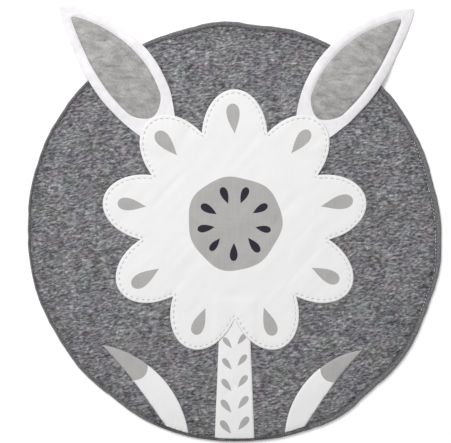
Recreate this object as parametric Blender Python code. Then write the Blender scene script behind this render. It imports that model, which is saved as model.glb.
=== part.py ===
"""Round padded play mat: a wadded disc bound round its rim, a flower of cotton sewn on its face,
and two stuffed leaf flaps that reach out past the rim.

Metres, +Z up. The mat lies face up on a floor at z = 0, its centre at the origin, and +Y points
to the edge between the two flaps.
"""

import math
from dataclasses import dataclass

import bmesh
import bpy
from mathutils import Vector

# The wadded disc and its rim
MAT_RADIUS = 0.445
AROUND = 96
LOFT = 0.0100
LOFT_RUN = 0.070
EDGE_THICKNESS = 0.0034
EDGE_RAISE_RUN = 0.034
RING_RADII = (0.060, 0.130, 0.200, 0.270, 0.330, 0.365, 0.390, 0.408, 0.4205, 0.4325)

# The angle in degrees, and how far the rim lies outside or inside the true circle in millimetres
RIM_WANDER = (
    (0, -3.6), (14, -7.9), (28, -4.7), (45, -1.0), (60, 4.5), (72, 5.4), (84, 0.6), (93, 6.6),
    (104, 2.8), (120, 2.0), (135, 6.0), (150, 4.5), (165, 1.0), (180, -3.0), (196, -2.6),
    (211, -6.0), (222, -4.0), (232, -6.4), (243, -1.0), (256, 1.6), (270, 1.2), (285, 4.2),
    (299, 8.8), (311, 1.4), (322, 4.8), (341, -2.6), (349, 0.4),
)
WANDER_STARTS = 0.62
WANDER_WHOLE = 0.88

# The soft rise and fall of the wadding: height in metres, waves across the mat in x and in y, phase
SWELL = ((0.00050, 2.3, 1.1, 0.6), (0.00035, -1.4, 2.9, 2.1), (0.00025, 3.7, 2.2, 4.0))

# The binding, a doubled tape folded over the edge
TAPE = 0.0012
BINDING_WIDTH = 0.0110
BINDING_CORNER = 0.0018

# Cloth sewn on the face
GAP = 0.0003
COTTON = 0.0012
PLUSH = 0.0012
CELL = 0.030
FINE_CELL = 0.015
MERGE = 0.00001

# The look of each cloth: its colour as sRGB shares, and its roughness
MARL_KNIT = ((0.48, 0.475, 0.485), 0.95)
CHARCOAL_TAPE = ((0.39, 0.385, 0.395), 0.90)
WHITE_COTTON = ((0.93, 0.93, 0.93), 0.85)
GREY_PLUSH = ((0.66, 0.66, 0.655), 1.0)

# The flower: each petal is the outer part of an ellipse
FLOWER_CENTRE = Vector((0.0, 0.020, 0.0))
PETALS = 9
PETAL_STEPS = 16
PETAL_OFFSET = 0.185
PETAL_ALONG = 0.100
PETAL_ACROSS = 0.070
FIRST_PETAL = 90.0

# The stem under it
STEM_TOP_WIDTH = 0.062
STEM_FOOT_WIDTH = 0.084
STEM_TOP_Y = -0.158
STEM_ROWS = 11
STEM_COLUMNS = (-1.0, -0.5, 0.0, 0.5, 1.0)

# The stuffed leaves and their plush insets
ROOT_THICKNESS = 0.0016
ROOT_RUN = 0.030
FILL_RUN = 0.075
LEAF_EDGE = 0.0026
LEAF_LOFT = 0.0090
CROWN_FLATNESS = 2.2
CROWN_SHOULDER = 0.8
FULL_FROM_WIDTH = 0.6
RISE_RUN = 0.050
FLOOR_RUN = 0.060
CLEAR_OF_EDGE = 0.0022
MIDRIB_HALF = 0.005
MIDRIB_DEPTH = 0.0011
INSET_GAP = 0.0004
INSET_BORDER = 0.021
INSET_LEAST_SHARE = 0.15
INSET_ROUNDING = 0.038
LEAF_ROWS = 22
INSET_FIRST_ROW = 2
INSET_LAST_ROW = 20

# How far a tucked end lifts the flower, and how that lift dies away round it
TUCK_CLEAR = 0.0002
LEAF_TUCK_RADIUS = 0.046
STEM_TUCK_HALF = 0.047
STEM_TUCK_PAST = 0.016
TUCK_FADE = 0.026

# The two slim blades beside the stem
BLADE_ROWS = 12
BLADE_COLUMNS = (-1.0, -0.55, 0.0, 0.55, 1.0)


@dataclass
class Leaf:
    """A leaf's plan: a spine that bends evenly from its root, and the width along it."""

    root: Vector
    heading: float
    turn: float
    length: float
    half_width: float
    root_phase: float

    def bearing(self, along):
        return math.radians(self.heading + self.turn * along / self.length)

    def spine(self, along):
        bend = math.radians(self.turn) / self.length
        start = math.radians(self.heading)
        end = self.bearing(along)
        swing = Vector((math.sin(end) - math.sin(start), math.cos(start) - math.cos(end), 0.0))
        return self.root + swing / bend

    def half_at(self, along):
        share = self.root_phase + (1.0 - self.root_phase) * along / self.length
        return self.half_width * max(math.sin(math.pi * min(share, 1.0) ** 0.95), 0.0) ** 0.8

    def place(self, along, aside):
        end = self.bearing(along)
        across = Vector((-math.sin(end), math.cos(end), 0.0))
        return self.spine(along) + across * aside

    def locate(self, point):
        """The distances along the spine and beside it of a point of the plan."""
        bend = math.radians(self.turn) / self.length
        start = math.radians(self.heading)
        centre = self.root + Vector((-math.sin(start), math.cos(start), 0.0)) / bend
        away = Vector((point.x - centre.x, point.y - centre.y)) * -math.copysign(1.0, bend)
        swung = math.remainder(math.atan2(-away.x, away.y) - start, math.tau)
        return swung / bend, 1.0 / bend - math.copysign(away.length, bend)


def on_mat(angle, radius):
    angle = math.radians(angle)
    return Vector((math.cos(angle), math.sin(angle), 0.0)) * radius


def on_flower(angle, radius):
    """A point of the plan, by its angle and distance from the flower's centre."""
    return FLOWER_CENTRE + on_mat(angle, radius)


LEAVES = {
    "leaf_left": Leaf(on_flower(129, 0.255), 118, 22, 0.345, 0.071, 0.14),
    "leaf_right": Leaf(on_flower(50, 0.255), 62, -24, 0.345, 0.070, 0.14),
}
BLADES = {
    "blade_left": Leaf(on_mat(254, 0.4365), 112, 40, 0.245, 0.027, 0.22),
    "blade_right": Leaf(on_mat(287, 0.4365), 71, -44, 0.225, 0.026, 0.22),
}


def smooth(share):
    share = min(max(share, 0.0), 1.0)
    return share * share * (3.0 - 2.0 * share)


def rim_offset(angle):
    """How far the rim lies outside the true circle at an angle in degrees."""
    angle %= 360.0
    rows = RIM_WANDER + ((360.0 + RIM_WANDER[0][0], RIM_WANDER[0][1]),)
    for (start, low), (end, high) in zip(rows, rows[1:]):
        if start <= angle <= end:
            return (low + (high - low) * smooth((angle - start) / (end - start))) / 1000.0
    return 0.0


def angle_of(point):
    return math.degrees(math.atan2(point.y, point.x))


def inside_rim(point):
    """The distance in from the rim, below zero off the mat."""
    return MAT_RADIUS + rim_offset(angle_of(point)) - math.hypot(point.x, point.y)


def pad_under(point):
    """The underside: flat, but for the edge that the tape folds under."""
    return (TAPE + GAP) * (1.0 - smooth((inside_rim(point) - BINDING_WIDTH) / EDGE_RAISE_RUN))


def pad_top(point):
    inside = inside_rim(point) - BINDING_WIDTH
    edge = TAPE + GAP + EDGE_THICKNESS
    waves = sum(
        height * math.sin(math.tau * (across * point.x + up * point.y) + phase)
        for height, across, up, phase in SWELL
    )
    filled = smooth(0.5 + 0.5 * inside / LOFT_RUN) * 2.0 - 1.0
    return edge + (LOFT - edge + waves) * max(filled, 0.0)


def flap_under(point):
    """The underside of a flap: on the face, over the binding, then down to the floor."""
    inside = inside_rim(point)
    over_binding = TAPE + CLEAR_OF_EDGE
    lift = over_binding * (1.0 - smooth((inside - BINDING_WIDTH) / RISE_RUN))
    down = 1.0 - smooth((-inside - CLEAR_OF_EDGE) / FLOOR_RUN)
    return (pad_top(point) + GAP + lift) * down


def tuck_lift(point):
    """How far the tucked ends of the leaves and the stem lift the flower."""
    lift = 0.0
    for leaf in LEAVES.values():
        distance = (point - leaf.spine(ROOT_RUN / 2)).length
        share = 1.0 - smooth((distance - LEAF_TUCK_RADIUS) / TUCK_FADE)
        lift = max(lift, (ROOT_THICKNESS + GAP + TUCK_CLEAR) * share)
    beside = 1.0 - smooth((abs(point.x) - STEM_TUCK_HALF) / TUCK_FADE)
    above = 1.0 - smooth((point.y - STEM_TOP_Y - STEM_TUCK_PAST) / TUCK_FADE)
    return max(lift, (COTTON + GAP + TUCK_CLEAR) * beside * above)


def thicken(bm, under, top):
    """Turns a flat patch into a closed body between two height functions of its points."""
    lower = bm.verts[:]
    faces = bm.faces[:]
    raised = bmesh.ops.extrude_face_region(bm, geom=faces, use_keep_orig=True)["geom"]
    upper = [item for item in raised if isinstance(item, bmesh.types.BMVert)]
    heights = [(vert, under(vert.co)) for vert in lower] + [(vert, top(vert.co)) for vert in upper]
    for vert, height in heights:
        vert.co.z = height
    bmesh.ops.recalc_face_normals(bm, faces=bm.faces[:])


def to_linear(channel):
    return channel / 12.92 if channel <= 0.04045 else ((channel + 0.055) / 1.055) ** 2.4


def material(name, cloth):
    colour, roughness = cloth
    made = bpy.data.materials.new(name)
    made.use_nodes = True
    shader = made.node_tree.nodes["Principled BSDF"]
    shader.inputs["Base Color"].default_value = (*map(to_linear, colour), 1.0)
    shader.inputs["Roughness"].default_value = roughness
    shader.inputs["Metallic"].default_value = 0.0
    return made


def add_object(name, bm, cloth, collection):
    mesh = bpy.data.meshes.new(name)
    bm.to_mesh(mesh)
    bm.free()
    mesh.materials.append(material(name, cloth))
    mesh.shade_smooth()
    mesh.set_sharp_from_angle(angle=math.radians(50))
    made = bpy.data.objects.new(name, mesh)
    collection.objects.link(made)


def turned(section, closed):
    """Turns a section in the XZ plane once round Z."""
    bm = bmesh.new()
    points = [bm.verts.new((radius, 0.0, height)) for radius, height in section]
    for first, second in zip(points, points[1:]):
        bm.edges.new((first, second))
    if closed:
        bm.edges.new((points[-1], points[0]))
    bmesh.ops.spin(
        bm, geom=bm.verts[:] + bm.edges[:], cent=(0, 0, 0), axis=(0, 0, 1),
        angle=math.tau, steps=AROUND, use_merge=True,
    )
    bmesh.ops.remove_doubles(bm, verts=bm.verts[:], dist=MERGE)
    bmesh.ops.recalc_face_normals(bm, faces=bm.faces[:])
    return bm


def follow_rim(bm):
    """Moves turned points in and out with the rim, less and less towards the middle."""
    for vert in bm.verts:
        radius = math.hypot(vert.co.x, vert.co.y)
        if radius < WANDER_STARTS * MAT_RADIUS:
            continue
        share = smooth((radius / MAT_RADIUS - WANDER_STARTS) / (WANDER_WHOLE - WANDER_STARTS))
        scale = 1.0 + share * rim_offset(angle_of(vert.co)) / radius
        vert.co.x *= scale
        vert.co.y *= scale


def build_pad(collection):
    edge = MAT_RADIUS - TAPE - GAP
    bm = turned([(radius, 0.0) for radius in (0.0, *RING_RADII, edge)], False)
    follow_rim(bm)
    thicken(bm, pad_under, pad_top)
    flat = [face for face in bm.faces if all(vert.co.z < MERGE for vert in face.verts)]
    bmesh.ops.dissolve_faces(bm, faces=flat)
    add_object("pad", bm, MARL_KNIT, collection)


def build_binding(collection):
    """A tape folded over the edge, open inwards like a letter C."""
    height = EDGE_THICKNESS + 2.0 * (TAPE + GAP)
    outer = MAT_RADIUS
    lip = outer - BINDING_WIDTH
    section = [
        (lip, 0.0),
        (outer - BINDING_CORNER, 0.0),
        (outer, BINDING_CORNER),
        (outer, height - BINDING_CORNER),
        (outer - BINDING_CORNER, height),
        (lip, height),
        (lip, height - TAPE),
        (outer - TAPE, height - TAPE),
        (outer - TAPE, TAPE),
        (lip, TAPE),
    ]
    bm = turned(section, True)
    follow_rim(bm)
    add_object("binding", bm, CHARCOAL_TAPE, collection)


def flower_outline():
    """The petals' outer edges, from notch to notch, each an arc of its ellipse."""
    half = math.pi / PETALS
    a, b = PETAL_ALONG, PETAL_ACROSS
    cos, sin = math.cos(half), math.sin(half)
    square = (cos / a) ** 2 + (sin / b) ** 2
    linear = PETAL_OFFSET * cos / a ** 2
    constant = (PETAL_OFFSET / a) ** 2 - 1.0
    notch = (linear + math.sqrt(linear ** 2 - square * constant)) / square
    end = math.atan2(notch * sin / b, (notch * cos - PETAL_OFFSET) / a)
    points = []
    for petal in range(PETALS):
        turn = math.radians(FIRST_PETAL + 360.0 * petal / PETALS)
        for step in range(PETAL_STEPS):
            phase = end * (2.0 * step / PETAL_STEPS - 1.0)
            out = PETAL_OFFSET + a * math.cos(phase)
            side = b * math.sin(phase)
            aim = Vector((math.cos(turn), math.sin(turn), 0.0))
            points.append(FLOWER_CENTRE + aim * out + Vector((-aim.y, aim.x, 0.0)) * side)
    return points


def cut_into_cells(bm, cell, wanted):
    """Cuts the faces that `wanted` accepts along a square lattice."""
    for axis in range(2):
        normal = Vector((0.0, 0.0, 0.0))
        normal[axis] = 1.0
        reach = max(abs(vert.co[axis]) for vert in bm.verts)
        for line in range(-int(reach / cell) - 1, int(reach / cell) + 2):
            faces = [face for face in bm.faces if wanted(face.calc_center_median())]
            edges = {edge for face in faces for edge in face.edges}
            verts = {vert for face in faces for vert in face.verts}
            bmesh.ops.bisect_plane(
                bm, geom=[*faces, *edges, *verts], dist=MERGE,
                plane_co=normal * (line + 0.5) * cell, plane_no=normal,
            )


def build_flower(collection):
    bm = bmesh.new()
    bm.faces.new([bm.verts.new(point) for point in flower_outline()])
    cut_into_cells(bm, CELL, lambda centre: True)
    cut_into_cells(bm, FINE_CELL, lambda centre: tuck_lift(centre) > 0.0)
    bmesh.ops.triangulate(bm, faces=bm.faces[:])
    thicken(
        bm,
        lambda point: pad_top(point) + GAP + tuck_lift(point),
        lambda point: pad_top(point) + GAP + tuck_lift(point) + COTTON,
    )
    add_object("flower", bm, WHITE_COTTON, collection)


def grid_patch(rows, columns, place):
    """A lattice set out by `place`, which takes the share of the rows passed and a column."""
    bm = bmesh.new()
    bmesh.ops.create_grid(bm, x_segments=rows, y_segments=len(columns) - 1, size=1.0)
    for vert in bm.verts:
        row = round((vert.co.x + 1.0) / 2.0 * rows)
        column = columns[round((vert.co.y + 1.0) / 2.0 * (len(columns) - 1))]
        vert.co = place(row / rows, column)
    return bm


def kept_inside(point, margin):
    """The point, drawn in towards the centre if it lies nearer the rim than the margin."""
    over = margin - inside_rim(point)
    return point if over <= 0.0 else point * (1.0 - over / point.length)


def on_face(point):
    return pad_top(point) + GAP


def build_strip(name, rows, columns, place, collection):
    """A strip of cotton lying on the face, kept just inside the binding."""
    margin = BINDING_WIDTH + 4.0 * GAP
    bm = grid_patch(rows, columns, lambda row, column: kept_inside(place(row, column), margin))
    bmesh.ops.remove_doubles(bm, verts=bm.verts[:], dist=MERGE)
    thicken(bm, on_face, lambda point: on_face(point) + COTTON)
    add_object(name, bm, WHITE_COTTON, collection)


def build_stem(collection):
    foot = -MAT_RADIUS + BINDING_WIDTH / 2.0

    def place(row, column):
        half = (STEM_FOOT_WIDTH + (STEM_TOP_WIDTH - STEM_FOOT_WIDTH) * row) / 2.0
        return Vector((half * column, foot + (STEM_TOP_Y - foot) * row, 0.0))

    build_strip("stem", STEM_ROWS, STEM_COLUMNS, place, collection)


def build_blade(name, blade, collection):
    def place(row, column):
        along = blade.length * row
        return blade.place(along, column * blade.half_at(along))

    build_strip(name, BLADE_ROWS, BLADE_COLUMNS, place, collection)


def leaf_top(leaf, point):
    """Full in the middle, thin at the seam and at the tucked root, pressed in along the midrib."""
    along, aside = leaf.locate(point)
    half = max(leaf.half_at(along), 1e-6)
    crown = (1.0 - min(abs(aside) / half, 1.0) ** CROWN_FLATNESS) ** CROWN_SHOULDER
    narrow = min(half / (FULL_FROM_WIDTH * leaf.half_width), 1.0)
    midrib = MIDRIB_DEPTH * max(1.0 - abs(aside) / MIDRIB_HALF, 0.0)
    full = LEAF_EDGE + (LEAF_LOFT - LEAF_EDGE) * crown * narrow - midrib
    filled = smooth((along - ROOT_RUN) / FILL_RUN)
    return flap_under(point) + ROOT_THICKNESS + (full - ROOT_THICKNESS) * filled


def leaf_columns(leaf, along):
    """Distances from the spine: the midrib's flank, the middle and edge of the inset, the seam."""
    half = leaf.half_at(along)
    past_start = along - leaf.length * INSET_FIRST_ROW / LEAF_ROWS
    back = min(max(1.0 - past_start / INSET_ROUNDING, 0.0), 1.0)
    inner = max(half - INSET_BORDER, INSET_LEAST_SHARE * half) * math.sqrt(1.0 - back ** 2)
    flank = min(MIDRIB_HALF, 0.4 * inner)
    return 0.0, flank, 0.55 * inner + 0.45 * flank, inner, 0.6 * half + 0.4 * inner, half


def leaf_patch(leaf, first_row, last_row, columns):
    """Rows of the leaf's plan, out to the given column on both sides of the spine."""
    def place(row, column):
        along = leaf.length * (first_row + (last_row - first_row) * row) / LEAF_ROWS
        return leaf.place(along, math.copysign(leaf_columns(leaf, along)[abs(column)], column))

    bm = grid_patch(last_row - first_row, range(-columns, columns + 1), place)
    bmesh.ops.remove_doubles(bm, verts=bm.verts[:], dist=MERGE)
    return bm


def build_leaf(name, leaf, collection):
    bm = leaf_patch(leaf, 0, LEAF_ROWS, 5)
    thicken(bm, flap_under, lambda point: leaf_top(leaf, point))
    add_object(name, bm, WHITE_COTTON, collection)


def build_inset(name, leaf, collection):
    bm = leaf_patch(leaf, INSET_FIRST_ROW, INSET_LAST_ROW, 3)
    thicken(
        bm,
        lambda point: leaf_top(leaf, point) + INSET_GAP,
        lambda point: leaf_top(leaf, point) + INSET_GAP + PLUSH,
    )
    add_object(name, bm, GREY_PLUSH, collection)


def build():
    for old in list(bpy.data.objects):
        bpy.data.objects.remove(old)
    collection = bpy.data.collections.new("play_mat")
    bpy.context.scene.collection.children.link(collection)
    build_pad(collection)
    build_binding(collection)
    build_stem(collection)
    for name, blade in BLADES.items():
        build_blade(name, blade, collection)
    for name, leaf in LEAVES.items():
        build_leaf(name, leaf, collection)
        build_inset(name + "_inset", leaf, collection)
    build_flower(collection)


build()
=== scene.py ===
"""The looks of a round padded play mat: a marl knit disc bound with tape, with a cotton flower,
its stem and two blades sewn on the face, and two stuffed leaf flaps that reach past the rim.

Metres, +Z up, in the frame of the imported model.
"""

import functools
import math

import bpy
import numpy as np
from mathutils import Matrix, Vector
from mathutils.geometry import delaunay_2d_cdt


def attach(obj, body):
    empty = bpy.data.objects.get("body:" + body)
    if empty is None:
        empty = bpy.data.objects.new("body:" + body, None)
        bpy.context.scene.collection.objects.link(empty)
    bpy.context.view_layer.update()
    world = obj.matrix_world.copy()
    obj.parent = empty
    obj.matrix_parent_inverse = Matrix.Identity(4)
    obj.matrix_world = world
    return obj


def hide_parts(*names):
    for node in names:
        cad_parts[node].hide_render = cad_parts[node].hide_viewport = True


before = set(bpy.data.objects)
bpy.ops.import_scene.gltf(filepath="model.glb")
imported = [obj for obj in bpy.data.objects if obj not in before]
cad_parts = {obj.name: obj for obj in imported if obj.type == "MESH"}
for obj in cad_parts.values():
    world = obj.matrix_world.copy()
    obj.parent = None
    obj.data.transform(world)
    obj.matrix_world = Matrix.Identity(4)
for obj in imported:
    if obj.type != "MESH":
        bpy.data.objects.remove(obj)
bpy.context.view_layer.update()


# The padded disc. A jersey face in grey marl yarn and a plain back, with polyester wadding
# between them, sewn together at the rim. It is 10 mm thick, and the loose wadding lets the face
# swell and dip a little and gathers it where it meets the binding.

MAT_RADIUS = 0.445
LOFT = 0.0100
LOFT_RUN = 0.070
EDGE_HEIGHT = 0.0049
TAPE_WIDTH = 0.0110
SWELL = ((0.00050, 2.3, 1.1, 0.6), (0.00035, -1.4, 2.9, 2.1), (0.00025, 3.7, 2.2, 4.0))
RIM_SIDES = 96
RIM_STEPS = 720
BATCH = 2000
ROW_OF_CELLS = 0.866
CLEAR_OF_EDGE = 0.45
CLEAR_OF_PRINT = 0.40
DISC_CELL = 0.0065
DISC_EDGE_ROWS = (0.0015, 0.005, 0.009, 0.0115, 0.0135, 0.0155, 0.018, 0.021, 0.0245, 0.0285)
DISC_BACK_ROWS = ((0.0015, 0.0017), (0.013, 0.0015), (0.048, 0.0))
GATHER_DEPTH = 0.0008
GATHER_PITCH = 0.011
GATHER_STRETCH = 0.3
GATHER_STARTS = 0.004
GATHER_RUN = 0.018
DIMPLE_DEPTH = 0.0004
DIMPLE_SIZE = 0.032
DIMPLE_STARTS = 0.030
TRENCH_DEPTH = 0.0018
TRENCH_HALF = 0.0030
TAPE_WIDTH_BY_DEGREE = (
    (0, 0.0122), (30, 0.0112), (60, 0.0092), (85, 0.0100), (113, 0.0095), (132, 0.0072),
    (160, 0.0058), (190, 0.0052), (215, 0.0058), (240, 0.0072), (262, 0.0056), (275, 0.0052),
    (292, 0.0100), (312, 0.0112), (330, 0.0106), (345, 0.0100), (360, 0.0122),
)


def smooth(share):
    share = np.clip(share, 0.0, 1.0)
    return share * share * (3.0 - 2.0 * share)


def uneven(x, y, size, seed):
    """Soft patches between -1 and 1, about `size` across, the same at each run."""
    table = np.random.default_rng(seed).uniform(-1.0, 1.0, (64, 64))
    u, v = np.asarray(x) / size + 32.0, np.asarray(y) / size + 32.0
    column, row = np.floor(u).astype(int), np.floor(v).astype(int)
    across, up = smooth(u - column), smooth(v - row)
    low, high = [
        table[line % 64, column % 64] * (1.0 - across) + table[line % 64, (column + 1) % 64] * across
        for line in (row, row + 1)
    ]
    return low * (1.0 - up) + high * up


def rim_of_frame():
    """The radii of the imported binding's outer edge, at equal steps round the mat."""
    points = np.array([vert.co[:2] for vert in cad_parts["binding"].data.vertices])
    angles, radii = np.arctan2(points[:, 1], points[:, 0]), np.hypot(*points.T)
    steps = np.round(angles / math.tau * RIM_SIDES).astype(int) % RIM_SIDES
    return np.array([radii[steps == step].max() for step in range(RIM_SIDES)])


RIM_RADII = rim_of_frame()


def rim_radius(angle):
    """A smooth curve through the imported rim's corners."""
    turn = np.asarray(angle) % math.tau / math.tau * RIM_SIDES
    step = np.floor(turn).astype(int)
    share = turn - step
    a, b, c, d = [RIM_RADII[(step + offset) % RIM_SIDES] for offset in (-1, 0, 1, 2)]
    bend = share * (2.0 * a - 5.0 * b + 4.0 * c - d + share * (3.0 * (b - c) + d - a))
    return b + 0.5 * share * (c - a + bend)


def inside_rim(x, y):
    return rim_radius(np.arctan2(y, x)) - np.hypot(x, y)


def tape_width(angle):
    """How far in from the rim the binding's lip lies on the face, at that place round the mat."""
    degrees, widths = zip(*TAPE_WIDTH_BY_DEGREE)
    return np.interp(np.degrees(angle) % 360.0, degrees, widths)


def turns(count):
    """Angles at equal steps round a circle."""
    return np.arange(count) * math.tau / count


def inside_tape(x, y):
    return inside_rim(x, y) - tape_width(np.arctan2(y, x))


ALL_ROUND = turns(RIM_STEPS)


def round_rim(depth, angle=ALL_ROUND):
    """A path round the mat, or along a part of it, that far in from the rim."""
    radius = rim_radius(angle) - depth
    return np.column_stack([radius * np.cos(angle), radius * np.sin(angle)])


def wadding_top(x, y):
    """The face of the disc: steep beside the binding, then level but for slow swells."""
    waves = sum(
        height * np.sin(math.tau * (across * x + up * y) + phase)
        for height, across, up, phase in SWELL
    )
    filled = smooth(0.5 + 0.5 * (inside_rim(x, y) - TAPE_WIDTH) / LOFT_RUN) * 2.0 - 1.0
    return EDGE_HEIGHT + (LOFT - EDGE_HEIGHT + waves) * np.maximum(filled, 0.0)


def nearest_on(loop, x, y):
    """How far each point lies from a closed loop, and how far along it the nearest place is."""
    leg = np.roll(loop, -1, axis=0) - loop
    length = np.hypot(*leg.T)
    before = np.concatenate([[0.0], np.cumsum(length)[:-1]])
    points = np.column_stack([x, y])
    distance, along = np.empty(len(points)), np.empty(len(points))
    for first in range(0, len(points), BATCH):
        batch = slice(first, first + BATCH)
        to_point = points[batch, None] - loop[None]
        share = np.clip((to_point * leg).sum(2) / (length ** 2), 0.0, 1.0)
        gap = np.hypot(*np.moveaxis(to_point - share[..., None] * leg, 2, 0))
        best = gap.argmin(1)
        rows = np.arange(len(best))
        distance[batch] = gap[rows, best]
        along[batch] = before[best] + share[rows, best] * length[best]
    return distance, along


def is_inside(loop, x, y):
    x0, y0 = loop.T
    x1, y1 = np.roll(loop, -1, axis=0).T
    inside = np.zeros(len(x), bool)
    for first in range(0, len(x), BATCH):
        batch = slice(first, first + BATCH)
        px, py = x[batch, None], y[batch, None]
        spans = (y0 > py) != (y1 > py)
        to_left = ((px - x0) * (y1 - y0) < (x1 - x0) * (py - y0)) == (y1 > y0)
        inside[batch] = (spans & to_left).sum(1) % 2 == 1
    return inside


def depth_in(loop, x, y):
    """How far inside a closed loop each point lies, below zero outside it."""
    distance = nearest_on(loop, x, y)[0]
    return np.where(is_inside(loop, x, y), distance, -distance)


def signed_area(loop):
    """The area in a closed loop, below zero where the loop turns right."""
    x, y = loop.T
    return (np.dot(x, np.roll(y, -1)) - np.dot(y, np.roll(x, -1))) / 2.0


def cut_cloth(outline, cell, prints=(), rows=()):
    """Cuts a flat shape into triangles about `cell` wide, along the edges of its prints.

    Returns its points, the triangles, and for each of them the number of the print it lies in,
    from 1, or 0 on bare cloth. The outline's points come first."""
    low, high = outline.min(0), outline.max(0)
    columns = np.arange(low[0], high[0], cell)
    x, y = np.meshgrid(columns, np.arange(low[1], high[1], cell * ROW_OF_CELLS))
    x[1::2] += cell / 2.0
    x, y = x.ravel(), y.ravel()
    edge = outline if not rows else rows[-1]
    clear = depth_in(edge, x, y) > CLEAR_OF_EDGE * cell
    for loop in prints:
        clear &= nearest_on(loop, x, y)[0] > CLEAR_OF_PRINT * cell
    loops = [loop if signed_area(loop) > 0.0 else loop[::-1] for loop in (outline, *prints)]
    points = np.concatenate([*loops, *rows, np.column_stack([x[clear], y[clear]])])
    ends = np.cumsum([len(loop) for loop in loops])
    borders = [list(range(end - len(loop), end)) for loop, end in zip(loops, ends)]
    made = delaunay_2d_cdt([Vector(point) for point in points], [], borders, 1, 1e-7, True)
    kept = [(face, owners) for face, owners in zip(made[2], made[5]) if 0 in owners]
    used = sorted({index for face, _ in kept for index in face})
    new_index = {old: new for new, old in enumerate(used)}
    flat = np.array([made[0][old] for old in used])
    triangles = [[new_index[index] for index in face] for face, _ in kept]
    return flat, triangles, [max(owners) for _, owners in kept]


def grid_faces(corners):
    """The faces of a grid, from a table of its points' numbers."""
    low, high = corners[:-1], corners[1:]
    faces = np.stack([low[:, :-1], low[:, 1:], high[:, 1:], high[:, :-1]], axis=2)
    return faces.reshape(-1, 4).tolist()


def ring_faces(starts, count):
    """The faces between rings of `count` points, each ring given by the number of its first."""
    return grid_faces(np.add.outer(starts, np.append(np.arange(count), 0)))


def add_object(name, data):
    added = bpy.data.objects.new(name, data)
    bpy.context.scene.collection.objects.link(added)
    return added


def add_piece(name, points, faces, finishes, slot=None, stands_for=(), finish_of_face=None):
    """A mesh that rides with the mat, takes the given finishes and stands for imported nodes."""
    mesh = bpy.data.meshes.new(name)
    mesh.from_pydata(np.asarray(points).tolist(), [], faces)
    for finish in finishes:
        mesh.materials.append(finish)
    if finish_of_face is not None:
        mesh.polygons.foreach_set("material_index", finish_of_face)
    mesh.shade_smooth()
    piece = add_object(name, mesh)
    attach(piece, "root")
    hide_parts(*stands_for)
    return piece


def linear(hex_colour):
    """The linear colour of an sRGB value such as #f0f0ee."""
    channels = [int(hex_colour[place:place + 2], 16) / 255.0 for place in (1, 3, 5)]
    return [c / 12.92 if c <= 0.04045 else ((c + 0.055) / 1.055) ** 2.4 for c in channels] + [1.0]


def add_node(tree, kind, inputs, stops=(), to=None, **settings):
    """Adds a shader node with its settings and its ramp's stops, its inputs set or linked, and
    the first output that is in use linked on. It gives back the outputs."""
    node = tree.nodes.new("ShaderNode" + kind)
    for name, value in settings.items():
        setattr(node, name, value)
    for name, value in inputs.items():
        if isinstance(value, bpy.types.NodeSocket):
            tree.links.new(value, node.inputs[name])
        else:
            node.inputs[name].default_value = value
    for _ in stops[2:]:
        node.color_ramp.elements.new(1.0)
    for index, (position, hex_colour) in enumerate(stops):
        node.color_ramp.elements[index].position = position
        node.color_ramp.elements[index].color = linear(hex_colour)
    if to is not None:
        tree.links.new(next(output for output in node.outputs if output.enabled), to)
    return node.outputs


def new_finish(name, **constants):
    """A material, what adds its nodes, its shader's sockets, and each point's place in metres."""
    made = bpy.data.materials.new(name)
    made.use_nodes = True
    add = functools.partial(add_node, made.node_tree)
    sockets = made.node_tree.nodes["Principled BSDF"].inputs
    for socket, value in constants.items():
        sockets[socket.replace("_", " ")].default_value = value
    return made, add, sockets, add("TexCoord", {})["Object"]


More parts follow.
